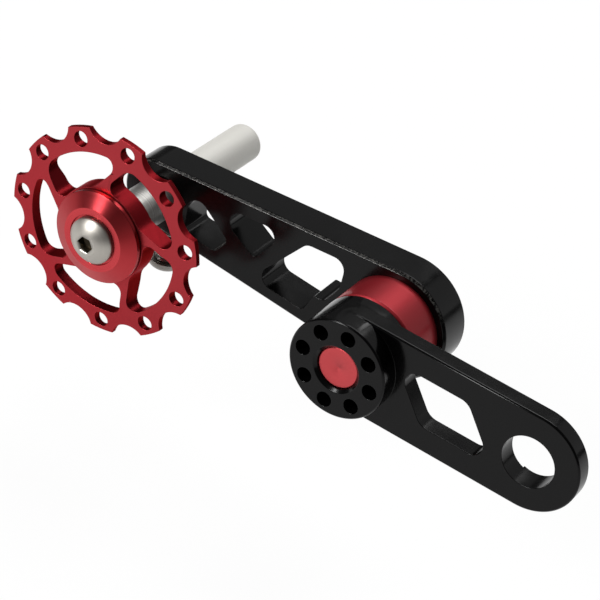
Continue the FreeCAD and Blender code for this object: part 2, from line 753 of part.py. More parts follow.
def make_bearing():
    """Grooved rings, caged balls and two seals, pressed into the hub."""
    half = "bearing_width / 2"
    for label, near, far in (("bearing_inner_ring", "bearing_bore", "inner_ring_radius"),
                             ("bearing_outer_ring", "outer_ring_radius", "bearing_radius")):
        body = new_body(label, WHEEL, "chain_line")
        turned(body, "turned", sharp((near, f"-{half}"), (far, f"-{half}"), (far, half), (near, half)))
        groove = new_sketch(body, "groove", "XY_Plane")
        circle(groove, "ball_circle", "0", "ball_radius + race_clearance")
        cut = body.newObject("PartDesign::Groove", f"{label}_race")
        cut.Profile = groove
        cut.ReferenceAxis = (groove, ["V_Axis"])
        cut.Angle = 360
        doc.recompute()

    seal_near = "inner_ring_radius + seal_gap"
    for label, y in (("bearing_seal_front", f"chain_line - {half} + seal_inset"),
                     ("bearing_seal_rear", f"chain_line + {half} - seal_inset - seal_thick")):
        seal = new_body(label, WHEEL, y)
        turned(seal, "turned", sharp((seal_near, "0"), ("outer_ring_radius", "0"),
                                     ("outer_ring_radius", "seal_thick"), (seal_near, "seal_thick")))

    cage = new_body("bearing_cage", WHEEL, "chain_line")
    turned(cage, "turned", sharp(
        ("cage_inner_radius", "-cage_width / 2"), ("cage_outer_radius", "-cage_width / 2"),
        ("cage_outer_radius", "cage_width / 2"), ("cage_inner_radius", "cage_width / 2")))
    opening = new_sketch(cage, "pocket", "YZ_Plane")
    circle(opening, "0", "0", "ball_radius + pocket_clearance")
    drilled = cage.newObject("PartDesign::Pocket", "bearing_cage_pocket")
    drilled.Profile = opening
    drilled.Type = "ThroughAll"
    drilled.Reversed = True
    doc.recompute()
    pockets = cage.newObject("PartDesign::PolarPattern", "bearing_cage_pockets")
    pockets.Originals = [drilled]
    spin_axis = [feature for feature in cage.Origin.OriginFeatures if feature.Role == "Y_Axis"]
    pockets.Axis = (spin_axis[0], [""])
    pockets.Angle = 360
    bind(pockets, "Occurrences", "ball_count")
    cage.Tip = pockets

    balls = []
    for number in range(SIZES["ball_count"]):
        ball = doc.addObject("Part::Sphere", f"ball_{number}")
        bind(ball, "Radius", "ball_radius")
        x, z = polar("ball_circle", f"{number} * 360 / ball_count")
        place(ball, f"{WHEEL} + {x}", "chain_line", z)
        balls.append(ball)
    group = doc.addObject("Part::Compound", "bearing_balls")
    group.Label = "bearing_balls"
    group.Links = balls
    sub_parts.append(group)


make_hanger_arm()
make_pivot()
make_spring()
make_main_arm()
make_shaft()
make_wheel()
make_caps()
make_bearing()
doc.recompute()

for thing in doc.Objects:
    if "Invalid" in thing.State or "Error" in thing.State:
        raise RuntimeError(f"{thing.Name} did not build")
for piece in sub_parts:
    if piece.Shape.isNull() or not piece.Shape.isValid() or not piece.Shape.Solids:
        raise RuntimeError(f"{piece.Label} has no sound solid")

os.makedirs("parts", exist_ok=True)
for piece in sub_parts:
    piece.Shape.exportStep(f"parts/{piece.Label}.step")
    print(f"{piece.Label:20} {len(piece.Shape.Solids)} solid(s) {piece.Shape.Volume:9.1f} mm3")
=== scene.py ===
"""Sprung chain guide: two black arms on a red pivot, and a red toothed wheel that keeps the chain on its line."""
import math

import bmesh
import bpy
from mathutils import Matrix, Vector


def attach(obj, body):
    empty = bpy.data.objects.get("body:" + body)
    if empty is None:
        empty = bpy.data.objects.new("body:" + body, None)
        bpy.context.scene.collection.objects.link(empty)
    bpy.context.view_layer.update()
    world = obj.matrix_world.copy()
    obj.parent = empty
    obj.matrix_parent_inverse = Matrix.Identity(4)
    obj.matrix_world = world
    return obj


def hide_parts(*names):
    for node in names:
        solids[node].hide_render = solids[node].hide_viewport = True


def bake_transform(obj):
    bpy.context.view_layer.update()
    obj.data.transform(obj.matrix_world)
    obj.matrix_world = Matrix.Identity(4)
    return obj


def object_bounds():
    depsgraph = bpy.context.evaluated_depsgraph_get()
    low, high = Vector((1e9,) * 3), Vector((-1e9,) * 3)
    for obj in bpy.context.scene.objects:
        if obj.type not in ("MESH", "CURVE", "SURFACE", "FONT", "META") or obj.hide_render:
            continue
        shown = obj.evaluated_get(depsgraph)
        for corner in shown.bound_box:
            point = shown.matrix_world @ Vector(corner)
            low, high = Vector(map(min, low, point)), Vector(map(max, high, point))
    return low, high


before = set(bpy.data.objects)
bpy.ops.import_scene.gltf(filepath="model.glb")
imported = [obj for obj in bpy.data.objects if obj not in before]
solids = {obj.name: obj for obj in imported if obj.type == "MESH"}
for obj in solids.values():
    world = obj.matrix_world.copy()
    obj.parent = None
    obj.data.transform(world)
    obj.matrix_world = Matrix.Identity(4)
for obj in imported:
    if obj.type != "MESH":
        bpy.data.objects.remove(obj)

cad_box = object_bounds()
MM = 0.001

# Hanger arm: a flat plate with a thick pivot boss, milled from aluminium bar and anodised gloss black.
# It bolts to the bicycle's gear hanger through the plain bore, and the ring of holes takes the spring's leg.
BLACK = (0.0006, 0.0006, 0.0007, 1)
SOFT_BLACK = (0.0012, 0.0011, 0.0012, 1)
BARE_EDGE = (0.068, 0.066, 0.062, 1)
LINT = (0.30, 0.30, 0.29, 1)
EDGE_BREAK = 0.12 * MM
CLOUD_SCALE, GRAIN_SCALE, RUB_SCALE, GRAIN_DEPTH = 140.0, 5200.0, 2200.0, 0.02 * MM
SHEEN_LOW, SHEEN_HIGH, BARE_METAL = 0.13, 0.20, 0.3
WELD = 1e-6
BOSS_AT, BOSS_RADIUS, BOSS_RIM, BOSS_SKIM, BOSS_FADE = -38.2 * MM, 10.0 * MM, 9.7 * MM, 0.1 * MM, 4.0 * MM
BOSS_FACE, PLATE_FACE = -3.9 * MM, 0.05 * MM


def add_node(tree, kind, sockets=None, **settings):
    """Add a node, set its choices, and link or set its sockets by name or number."""
    made = tree.nodes.new(kind)
    for setting, choice in settings.items():
        setattr(made, setting, choice)
    for name, given in (sockets or {}).items():
        for source in given if isinstance(given, list) else [given]:
            if isinstance(source, bpy.types.NodeSocket):
                tree.links.new(source, made.inputs[name])
            else:
                made.inputs[name].default_value = source
    return made


def calc(tree, operation, a, b=0.0):
    """Add one step of arithmetic to a material."""
    return add_node(tree, "ShaderNodeMath", {0: a, 1: b}, operation=operation).outputs[0]


def ease(tree, amount, low, high, to_low=0.0, to_high=1.0):
    """Map a number smoothly from one span to another."""
    step = add_node(tree, "ShaderNodeMapRange", {"Value": amount, "From Min": low, "From Max": high,
                                                 "To Min": to_low, "To Max": to_high},
                    interpolation_type="SMOOTHSTEP")
    return step.outputs["Result"]


def mix_colours(tree, amount, a, b):
    """Mix two colours by a mask."""
    return add_node(tree, "ShaderNodeMix", {"Factor": amount, 6: a, 7: b}, data_type="RGBA").outputs[2]


def new_effect(name, inputs, outputs):
    """Start a shared shading effect with named sockets."""
    effect = bpy.data.node_groups.new(name, "ShaderNodeTree")
    for label, kind, start in inputs:
        effect.interface.new_socket(label, in_out="INPUT", socket_type=kind).default_value = start
    for label in outputs:
        effect.interface.new_socket(label, in_out="OUTPUT", socket_type="NodeSocketFloat")
    return effect, effect.nodes.new("NodeGroupInput").outputs, effect.nodes.new("NodeGroupOutput").inputs


def use_effect(tree, effect, **values):
    """Place a shared effect in a material with its own values."""
    placed = add_node(tree, "ShaderNodeGroup", node_tree=effect)
    for name, given in values.items():
        placed.inputs[name].default_value = given
    return placed.outputs


def new_finish(name, **constants):
    """Start a material, with the values that are the same all over it."""
    finish = bpy.data.materials.new(name)
    finish.use_nodes = True
    skin = finish.node_tree.nodes["Principled BSDF"]
    for socket, given in constants.items():
        skin.inputs[socket.replace("_", " ")].default_value = given
    return finish, finish.node_tree, skin


rubbed, rubbed_in, rubbed_out = new_effect(
    "rubbed_chamfer", [("Scale", "NodeSocketFloat", 900.0), ("Share", "NodeSocketFloat", 0.5)], ["Mask"])
rubbed_at = rubbed.nodes.new("ShaderNodeTexCoord").outputs
rubbed_lean = add_node(rubbed, "ShaderNodeSeparateXYZ", {0: rubbed_at["Normal"]}).outputs
rubbed_slope = calc(rubbed, "ABSOLUTE", rubbed_lean["Y"])
rubbed_face = calc(rubbed, "MULTIPLY", ease(rubbed, rubbed_slope, 0.45, 0.65), ease(rubbed, rubbed_slope, 0.9, 0.78))
rubbed_front = calc(rubbed, "MULTIPLY", rubbed_face, ease(rubbed, rubbed_lean["Z"], 0.3, 0.6))
rubbed_noise = add_node(rubbed, "ShaderNodeTexNoise", {"Vector": rubbed_at["Object"], "Scale": rubbed_in["Scale"],
                                                       "Detail": 5.0, "Roughness": 0.75}).outputs["Fac"]
rubbed_gate = calc(rubbed, "SUBTRACT", 1.0, rubbed_in["Share"])
rubbed_patch = ease(rubbed, calc(rubbed, "SUBTRACT", rubbed_noise, rubbed_gate), -0.03, 0.09)
rubbed.links.new(calc(rubbed, "MULTIPLY", rubbed_front, rubbed_patch), rubbed_out["Mask"])

specks, specks_in, specks_out = new_effect(
    "lint_specks", [("Scale", "NodeSocketFloat", 260.0), ("Size", "NodeSocketFloat", 0.06),
                    ("Share", "NodeSocketFloat", 0.1)], ["Mask"])
specks_cells = add_node(specks, "ShaderNodeTexVoronoi", {
    "Vector": specks.nodes.new("ShaderNodeTexCoord").outputs["Object"], "Scale": specks_in["Scale"]}).outputs
specks_pick = add_node(specks, "ShaderNodeSeparateColor", {0: specks_cells["Color"]}).outputs
specks_spot = calc(specks, "LESS_THAN", specks_cells["Distance"], specks_in["Size"])
specks_few = calc(specks, "LESS_THAN", specks_pick[0], specks_in["Share"])
specks.links.new(calc(specks, "MULTIPLY", specks_spot, specks_few), specks_out["Mask"])


def black_finish(name, rubbed_share):
    """Make gloss black anodising with faint clouds, a little lint, and chamfers rubbed to bare metal."""
    finish, tree, skin = new_finish(name, Specular_IOR_Level=0.17)
    at = tree.nodes.new("ShaderNodeTexCoord").outputs["Object"]
    cloud = add_node(tree, "ShaderNodeTexNoise", {"Vector": at, "Scale": CLOUD_SCALE, "Detail": 5.0}).outputs["Fac"]
    grain = add_node(tree, "ShaderNodeTexNoise", {"Vector": at, "Scale": GRAIN_SCALE, "Detail": 2.0}).outputs["Fac"]
    bare = use_effect(tree, rubbed, Scale=RUB_SCALE, Share=rubbed_share)["Mask"]
    lint = use_effect(tree, specks, Scale=230.0, Size=0.045, Share=0.10)["Mask"]
    base = mix_colours(tree, bare, mix_colours(tree, cloud, BLACK, SOFT_BLACK), BARE_EDGE)
    tree.links.new(mix_colours(tree, lint, base, LINT), skin.inputs["Base Color"])
    tree.links.new(ease(tree, cloud, 0.3, 0.7, SHEEN_LOW, SHEEN_HIGH), skin.inputs["Roughness"])
    tree.links.new(calc(tree, "MULTIPLY", bare, BARE_METAL), skin.inputs["Metallic"])
    bump = add_node(tree, "ShaderNodeBump", {"Strength": 0.05, "Distance": GRAIN_DEPTH, "Height": grain})
    tree.links.new(bump.outputs[0], skin.inputs["Normal"])
    return finish


def settle(carrier, name):
    """Turn an object and its modifiers into one plain closed mesh at the origin."""
    shape = bpy.data.meshes.new_from_object(carrier.evaluated_get(bpy.context.evaluated_depsgraph_get()))
    bpy.data.objects.remove(carrier)
    shape.name = name
    piece = bpy.data.objects.new(name, shape)
    bpy.context.scene.collection.objects.link(piece)
    return piece


def break_edges(piece, width, angle):
    """Round the sharp edges of a piece a little, and keep its flats flat to the eye."""
    name = piece.name
    round_off = piece.modifiers.new("edge_break", "BEVEL")
    round_off.width, round_off.segments, round_off.use_clamp_overlap = width, 2, False
    round_off.limit_method, round_off.angle_limit, round_off.harden_normals = "ANGLE", math.radians(angle), True
    return settle(piece, name)


def milled_copy(node, name, finish, dress=None):
    """Copy a milled solid, join its loose triangles, and break its edges as tumbling does."""
    loose = solids[node].data
    shape = bpy.data.meshes.new(name)
    shape.from_pydata([corner.co for corner in loose.vertices], [], [face.vertices[:] for face in loose.polygons])
    build = bmesh.new()
    build.from_mesh(shape)
    bmesh.ops.remove_doubles(build, verts=build.verts, dist=WELD)
    for corner in build.verts if dress else []:
        dress(corner)
    bmesh.ops.dissolve_limit(build, angle_limit=math.radians(0.4), verts=build.verts, edges=build.edges)
    for face in build.faces:
        face.smooth = True
    build.to_mesh(shape)
    build.free()
    shape.materials.append(finish)
    piece = bpy.data.objects.new(name, shape)
    bpy.context.scene.collection.objects.link(piece)
    return break_edges(piece, EDGE_BREAK, 32.0)


def mount(piece, body, node):
    """Fix a finished piece to its body, in place of its solid."""
    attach(piece, body)
    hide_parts(node)


def dress_boss(corner):
    """Bring the boss out flush with the plate's round end, and fade that out behind the plate's face."""
    across, up = corner.co.x - BOSS_AT, corner.co.z
    reach, slack = math.hypot(across, up), 0.3 * BOSS_SKIM
    rim = corner.co.y < BOSS_FACE and abs(reach - BOSS_RIM) < slack
    if rim or abs(reach - BOSS_RADIUS) < slack:
        share = 1.0 if corner.co.y < PLATE_FACE else min(max(-across / BOSS_FADE, 0.0), 1.0)
        full = reach + share * BOSS_SKIM
        corner.co.x, corner.co.z = BOSS_AT + across * full / reach, up * full / reach


hanger_black = black_finish("hanger_black", rubbed_share=0.30)
hanger_plate = milled_copy("hanger_arm", "hanger_plate", hanger_black, dress_boss)
mount(hanger_plate, "hanger", "hanger_arm")

# Pivot pin: a red anodised aluminium pin, turned on a lathe and pressed into the boss.
# Its front end shows in the boss with the lathe's centre mark, and its rear end is tapped for the pivot screw.
PIVOT_AT = (-38.2 * MM, 0.0, 0.0)
PIN_RED = (0.52, 0.060, 0.068, 1)
PIN_SHADE = (0.49, 0.054, 0.061, 1)
PIN = [(0, -2.98, 0), (0.24, -3.2, 0), (3.95, -3.2, 0.12), (4.25, -2.9, 0.12), (4.25, 23.8, 0.2), (3.0, 23.8, 0.15),
       (3.0, 11.5, 0), (0, 11.5, 0)]
SPINDLE = 1.0 * MM


def beside_axis(tree, centre):
    """Find where a point lies beside an axis along Y: its offsets from the centre and its radius."""
    at = tree.nodes.new("ShaderNodeTexCoord").outputs["Object"]
    offset = add_node(tree, "ShaderNodeVectorMath", {0: at, 1: centre}, operation="SUBTRACT").outputs[0]
    axes = add_node(tree, "ShaderNodeSeparateXYZ", {0: offset}).outputs
    flat = add_node(tree, "ShaderNodeCombineXYZ", {"X": axes["X"], "Z": axes["Z"]}).outputs[0]
    return axes, add_node(tree, "ShaderNodeVectorMath", {0: flat}, operation="LENGTH").outputs["Value"]


turning, turning_in, turning_out = new_effect(
    "lathe_lines", [("Centre", "NodeSocketVector", (0, 0, 0)), ("Lines", "NodeSocketFloat", 9000.0),
                    ("Bands", "NodeSocketFloat", 900.0)], ["Height", "Band"])
turning_axes, turning_radius = beside_axis(turning, turning_in["Centre"])
turning_run = calc(turning, "ADD", turning_radius, turning_axes["Y"])
for label, lines, detail in (("Height", turning_in["Lines"], 2.0), ("Band", turning_in["Bands"], 4.0)):
    trace = add_node(turning, "ShaderNodeTexNoise", {"W": turning_run, "Scale": lines, "Detail": detail},
                     noise_dimensions="1D").outputs["Fac"]
    turning.links.new(trace, turning_out[label])


def turned_finish(name, centre, light, dark, roughness, lines, bands, grip, **constants):
    """Make a turned metal finish, with tool lines round a centre in its colour, gloss and relief."""
    finish, tree, skin = new_finish(name, **constants)
    lathe = use_effect(tree, turning, Centre=centre, Lines=lines, Bands=bands)
    lint = use_effect(tree, specks, Scale=300.0, Size=0.05, Share=0.06)["Mask"]
    band = ease(tree, lathe["Band"], 0.3, 0.7)
    paler = tuple(0.6 * part + 0.25 for part in light[:3]) + (1,)
    tree.links.new(mix_colours(tree, lint, mix_colours(tree, band, dark, light), paler), skin.inputs["Base Color"])
    tree.links.new(ease(tree, lathe["Band"], 0.3, 0.7, roughness - 0.04, roughness + 0.05), skin.inputs["Roughness"])
    bump = add_node(tree, "ShaderNodeBump", {"Strength": grip, "Distance": GRAIN_DEPTH, "Height": lathe["Height"]})
    tree.links.new(bump.outputs[0], skin.inputs["Normal"])
    if "Anisotropic" in constants:
        sweep = add_node(tree, "ShaderNodeTangent", direction_type="RADIAL", axis="Y")
        tree.links.new(sweep.outputs[0], skin.inputs["Tangent"])
    return finish


def new_shape(name, sizes):
    """Start a geometry tree with named sizes."""
    shape = bpy.data.node_groups.new(name, "GeometryNodeTree")
    shape.interface.new_socket("Geometry", in_out="INPUT", socket_type="NodeSocketGeometry")
    for label, kind, start in sizes:
        socket = shape.interface.new_socket(label, in_out="INPUT", socket_type="NodeSocket" + kind)
        if start is not None:
            socket.default_value = start
    shape.interface.new_socket("Geometry", in_out="OUTPUT", socket_type="NodeSocketGeometry")
    return shape, shape.nodes.new("NodeGroupInput").outputs, shape.nodes.new("NodeGroupOutput").inputs[0]


def end_shape(shape, made, finish, end):
    """End a geometry tree: smooth faces, real geometry, one finish."""
    smooth = add_node(shape, "GeometryNodeSetShadeSmooth", {0: made})
    real = add_node(shape, "GeometryNodeRealizeInstances", {0: smooth.outputs[0]})
    coat = add_node(shape, "GeometryNodeSetMaterial", {"Geometry": real.outputs[0], "Material": finish})
    shape.links.new(coat.outputs[0], end)


def grow(carrier, shape, name, **sizes):
    """Run a geometry tree on an object and settle the result, merged and facing outwards."""
    run = carrier.modifiers.new("grow", "NODES")
    run.node_group = shape
    for socket in shape.interface.items_tree:
        if socket.in_out == "INPUT" and socket.name.replace(" ", "_") in sizes:
            run[socket.identifier] = sizes[socket.name.replace(" ", "_")]
    piece = settle(carrier, name)
    build = bmesh.new()
    build.from_mesh(piece.data)
    bmesh.ops.remove_doubles(build, verts=build.verts, dist=WELD / 2)
    bmesh.ops.dissolve_degenerate(build, edges=build.edges, dist=WELD / 2)
    bmesh.ops.recalc_face_normals(build, faces=build.faces)
    build.to_mesh(piece.data)
    build.free()
    return piece


def outline(name, corners, closed, inset=0.0):
    """Draw a line through corners, each with the radius that rounds it, as a curve that a tree can use."""
    line = bpy.data.curves.new(name, "CURVE")
    line.dimensions = "3D"
    run = line.splines.new("POLY")
    run.points.add(len(corners) - 1)
    for point, (across, along, rounding) in zip(run.points, corners):
        point.co = (across * MM - inset, along * MM, 0.0, 1.0)
        point.radius = max(rounding * MM, 1e-7)
    run.use_cyclic_u = closed
    holder = bpy.data.objects.new(name, line)
    bpy.context.scene.collection.objects.link(holder)
    return holder


lathe_shape, lathe_in, lathe_end = new_shape("turned_on_a_lathe", [
    ("Steps", "Int", 96), ("Round Steps", "Int", 4), ("Place", "Vector", (0, 0, 0)), ("Turn", "Vector", (0, 0, 0)),
    ("Finish", "Material", None)])
lathe_round = add_node(lathe_shape, "GeometryNodeFilletCurve", {
    "Curve": lathe_in["Geometry"], "Count": lathe_in["Round Steps"],
    "Radius": lathe_shape.nodes.new("GeometryNodeInputRadius").outputs[0], "Limit Radius": True}, mode="POLY")
lathe_path = add_node(lathe_shape, "GeometryNodeCurvePrimitiveCircle", {"Resolution": lathe_in["Steps"],
                                                                        "Radius": SPINDLE})
lathe_sweep = add_node(lathe_shape, "GeometryNodeCurveToMesh", {"Curve": lathe_path.outputs[0],
                                                                "Profile Curve": lathe_round.outputs[0]})
lathe_weld = add_node(lathe_shape, "GeometryNodeMergeByDistance", {"Geometry": lathe_sweep.outputs[0],
                                                                   "Distance": WELD})
lathe_set = add_node(lathe_shape, "GeometryNodeTransform", {"Geometry": lathe_weld.outputs[0],
                                                            "Translation": lathe_in["Place"],
                                                            "Rotation": lathe_in["Turn"]})
end_shape(lathe_shape, lathe_set.outputs[0], lathe_in["Finish"], lathe_end)


def even_faces(piece):
    """Weigh a turned piece's normals by face size, so that its flats look flat beside the small rounds."""
    name = piece.name
    piece.data.set_sharp_from_angle(angle=math.radians(50.0))
    level = piece.modifiers.new("even_faces", "WEIGHTED_NORMAL")
    level.keep_sharp = True
    return settle(piece, name)


def turn_piece(name, corners, closed, place, finish, turn=(math.pi / 2, 0.0, 0.0), steps=120, rounds=4):
    """Turn a profile of (radius, station, rounding) corners in mm; the axis lies along Y unless turned."""
    blank = outline(name + "_profile", corners, closed, SPINDLE)
    return even_faces(grow(blank, lathe_shape, name, Steps=steps, Round_Steps=rounds, Place=place, Turn=turn,
                           Finish=finish))


pin_red = turned_finish("pin_red", PIVOT_AT, PIN_RED, PIN_SHADE, roughness=0.44, lines=7000.0, bands=300.0, grip=0.04,
                        Metallic=0.75)
pivot_pin = turn_piece("red_pivot_pin", PIN, False, PIVOT_AT, pin_red)
mount(pivot_pin, "hanger", "pivot_pin")

# Pivot bearing: a nylon slide washer against the boss and a bronze bush pressed into the main arm.
# Both are turned rings round the pin; they are inside the barrel, so only a cut through the part shows them.
NYLON = (0.78, 0.76, 0.70, 1)
NYLON_SHADE = (0.68, 0.66, 0.60, 1)
BRONZE = (0.62, 0.40, 0.18, 1)
BRONZE_SHADE = (0.48, 0.29, 0.12, 1)
SLIDE_WASHER = [(4.29, 6.2, 0.08), (6.2, 6.2, 0.08), (6.2, 7.0, 0.08), (4.29, 7.0, 0.08)]
SWING_BUSH = [(4.29, 7.3, 0.2), (5.75, 7.3, 0.2), (5.75, 23.5, 0.2), (4.29, 23.5, 0.2)]

nylon = turned_finish("nylon", PIVOT_AT, NYLON, NYLON_SHADE, roughness=0.55, lines=5000.0, bands=500.0, grip=0.08)
slide_washer = turn_piece("slide_washer", SLIDE_WASHER, True, PIVOT_AT, nylon)
mount(slide_washer, "hanger", "thrust_washer")
bronze = turned_finish("oiled_bronze", PIVOT_AT, BRONZE, BRONZE_SHADE, roughness=0.42, lines=6000.0, bands=800.0,
                       grip=0.12, Metallic=1.0)
swing_bush = turn_piece("swing_bush", SWING_BUSH, True, PIVOT_AT, bronze)
mount(swing_bush, "arm", "pivot_bush")

# Return spring: a torsion spring coiled from round steel wire, with a straight leg at each end.
# One leg sits in a boss hole and the other in the main arm, so the coils twist as the arm swings.
SPRING_STEEL = (0.33, 0.32, 0.31, 1)
SPRING_SHADE = (0.22, 0.21, 0.20, 1)
COIL_RADIUS, WIRE_RADIUS = 7.45, 0.8
COIL_FRONT, COIL_REAR = 7.925, 13.775
LEG_FRONT, LEG_REAR = 2.2, 19.5
COIL_START, COIL_SWEEP, COIL_POINTS = 174.0, -1170.0, 156

spring_path = [(COIL_START, LEG_FRONT + step * (COIL_FRONT - LEG_FRONT) / 4) for step in range(4)]
for step in range(COIL_POINTS + 1):
    share = step / COIL_POINTS
    spring_path.append((COIL_START + COIL_SWEEP * share, COIL_FRONT + share * (COIL_REAR - COIL_FRONT)))
spring_path += [(COIL_START + COIL_SWEEP, COIL_REAR + step * (LEG_REAR - COIL_REAR) / 4) for step in range(1, 5)]
spring_line = outline("spring_path", [(0, 0, 0)] * len(spring_path), False)
for point, (angle, station) in zip(spring_line.data.splines[0].points, spring_path):
    lean = math.radians(angle)
    point.co = (PIVOT_AT[0] + COIL_RADIUS * math.cos(lean) * MM, station * MM, COIL_RADIUS * math.sin(lean) * MM, 1.0)
    point.radius = 1.0

wire_shape, wire_in, wire_end = new_shape("wire_on_a_path", [("Wire Radius", "Float", 0.0008), ("Sides", "Int", 12),
                                                             ("Finish", "Material", None)])
wire_round = add_node(wire_shape, "GeometryNodeCurvePrimitiveCircle", {"Resolution": wire_in["Sides"],
                                                                       "Radius": wire_in["Wire Radius"]})
wire_sweep = add_node(wire_shape, "GeometryNodeCurveToMesh", {"Curve": wire_in["Geometry"], "Fill Caps": True,
                                                              "Profile Curve": wire_round.outputs[0]})
end_shape(wire_shape, wire_sweep.outputs[0], wire_in["Finish"], wire_end)
spring_steel = turned_finish("spring_steel", PIVOT_AT, SPRING_STEEL, SPRING_SHADE, roughness=0.34, lines=4000.0,
                             bands=500.0, grip=0.06, Metallic=1.0)
return_spring = grow(spring_line, wire_shape, "return_spring", Wire_Radius=WIRE_RADIUS * MM, Sides=14,
                     Finish=spring_steel)
return_spring = even_faces(return_spring)
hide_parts("torsion_spring")
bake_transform(return_spring)

# Spring barrel: a thin red anodised tube that covers the spring between the two arms.
# It is turned with a bright broken edge at the front, and turns with the main arm.
BARREL_RED = (0.255, 0.017, 0.023, 1)
BARREL_SHADE = (0.24, 0.016, 0.021, 1)
RED_SHEEN = (1.0, 0.30, 0.33, 1)
BARREL = [(8.8, 6.5, 0.1), (9.5, 6.5, 0.1), (10.0, 7.0, 0.25), (10.0, 15.5, 0.1), (8.8, 15.5, 0.1)]

barrel_red = turned_finish("barrel_red", PIVOT_AT, BARREL_RED, BARREL_SHADE, roughness=0.46, lines=8000.0, bands=120.0,
                           grip=0.02, Metallic=0.6, Specular_Tint=RED_SHEEN, Coat_Weight=0.2, Coat_Roughness=0.12)
red_barrel = turn_piece("red_barrel", BARREL, True, PIVOT_AT, barrel_red, steps=160)
mount(red_barrel, "arm", "spring_barrel")

# Main arm: a tapered bar milled from aluminium with three truss windows, then anodised gloss black.
# It swings on the bush; its narrow end is bored for the shaft, and its front edge is rubbed through here and there.
swing_arm = milled_copy("main_arm", "swing_arm", black_finish("arm_black", rubbed_share=0.50))
mount(swing_arm, "arm", "main_arm")

# Pivot screw and washer: a stainless button-head screw with a hexagon socket, and the plain washer under it.
# The screw goes into the tapped end of the pin from behind and holds the main arm on.
STEEL = (0.58, 0.555, 0.51, 1)
STEEL_SHADE = (0.50, 0.475, 0.43, 1)
END_WASHER = [(3.0, 23.8, 0.1), (7.5, 23.8, 0.2), (7.5, 25.0, 0.3), (3.0, 25.0, 0.1)]
PIVOT_TOP, PIVOT_FLATS, PIVOT_DEPTH = 28.3, 4.0, 2.0
PIVOT_SCREW = [(0, 11.8, 0), (2.57, 11.8, 0.05), (2.97, 12.2, 0.05), (2.97, 25.0, 0.1), (5.25, 25.0, 0.15),
               (5.25, PIVOT_TOP, 2.6), (0, PIVOT_TOP, 0)]

socket_shape, socket_in, socket_end = new_shape("hexagon_socket", [
    ("Across Flats", "Float", 0.003), ("Depth", "Float", 0.0017), ("Mouth", "Vector", (0, 0, 0)),
    ("Turn", "Vector", (0, 0, 0)), ("Finish", "Material", None)])
socket_reach = add_node(socket_shape, "ShaderNodeMath", {0: socket_in["Across Flats"], 1: 1.0 / math.sqrt(3.0)},
                        operation="MULTIPLY")
socket_length = add_node(socket_shape, "ShaderNodeMath", {0: socket_in["Depth"], 1: 2.0}, operation="MULTIPLY")
socket_broach = add_node(socket_shape, "GeometryNodeMeshCylinder", {
    "Vertices": 6, "Radius": socket_reach.outputs[0], "Depth": socket_length.outputs[0]})
socket_floor = add_node(socket_shape, "ShaderNodeMath", {0: socket_in["Depth"], 1: 0.97}, operation="MULTIPLY")
socket_drill = add_node(socket_shape, "GeometryNodeMeshCone", {
    "Vertices": 24, "Radius Top": 0.0, "Radius Bottom": socket_in["Across Flats"], "Depth": socket_in["Across Flats"]})
socket_small = add_node(socket_shape, "GeometryNodeTransform", {"Geometry": socket_drill.outputs[0],
                                                                "Scale": (0.48, 0.48, 0.28)})
socket_deep = add_node(socket_shape, "ShaderNodeCombineXYZ", {"Z": socket_floor.outputs[0]})
socket_low = add_node(socket_shape, "GeometryNodeTransform", {"Geometry": socket_small.outputs[0],
                                                              "Translation": socket_deep.outputs[0]})
socket_tools = []
for tool in (socket_broach, socket_low):
    placed = add_node(socket_shape, "GeometryNodeTransform", {"Geometry": tool.outputs[0],
                                                              "Translation": socket_in["Mouth"],
                                                              "Rotation": socket_in["Turn"]})
    socket_tools.append(placed.outputs[0])
socket_first = add_node(socket_shape, "GeometryNodeMeshBoolean", {"Mesh 1": socket_in["Geometry"],
                                                                  "Mesh 2": socket_tools[0]},
                        operation="DIFFERENCE", solver="EXACT")
socket_cut = add_node(socket_shape, "GeometryNodeMeshBoolean", {"Mesh 1": socket_first.outputs[0],
                                                                "Mesh 2": socket_tools[1]},
                      operation="DIFFERENCE", solver="EXACT")
end_shape(socket_shape, socket_cut.outputs[0], socket_in["Finish"], socket_end)


def broach(piece, flats, depth, mouth, turn, finish):
    """Cut a hexagon socket with a drilled bottom into a screw's head."""
    name = piece.name
    cut = grow(piece, socket_shape, name, Across_Flats=flats * MM, Depth=depth * MM, Mouth=mouth, Turn=turn,
               Finish=finish)
    cut.data.set_sharp_from_angle(angle=math.radians(28.0))
    return cut


pivot_steel = turned_finish("pivot_stainless", PIVOT_AT, STEEL, STEEL_SHADE, roughness=0.20, lines=6000.0, bands=700.0,
                            grip=0.04, Metallic=1.0)
end_washer = turn_piece("end_washer", END_WASHER, True, PIVOT_AT, pivot_steel)
mount(end_washer, "hanger", "pivot_washer")
pivot_screw = turn_piece("pivot_button_screw", PIVOT_SCREW, False, PIVOT_AT, pivot_steel, rounds=12)
pivot_screw = broach(pivot_screw, PIVOT_FLATS, PIVOT_DEPTH, (PIVOT_AT[0], PIVOT_TOP * MM, 0.0),
                     (math.pi / 2, 0.0, 0.0), pivot_steel)
mount(pivot_screw, "hanger", "pivot_screw")

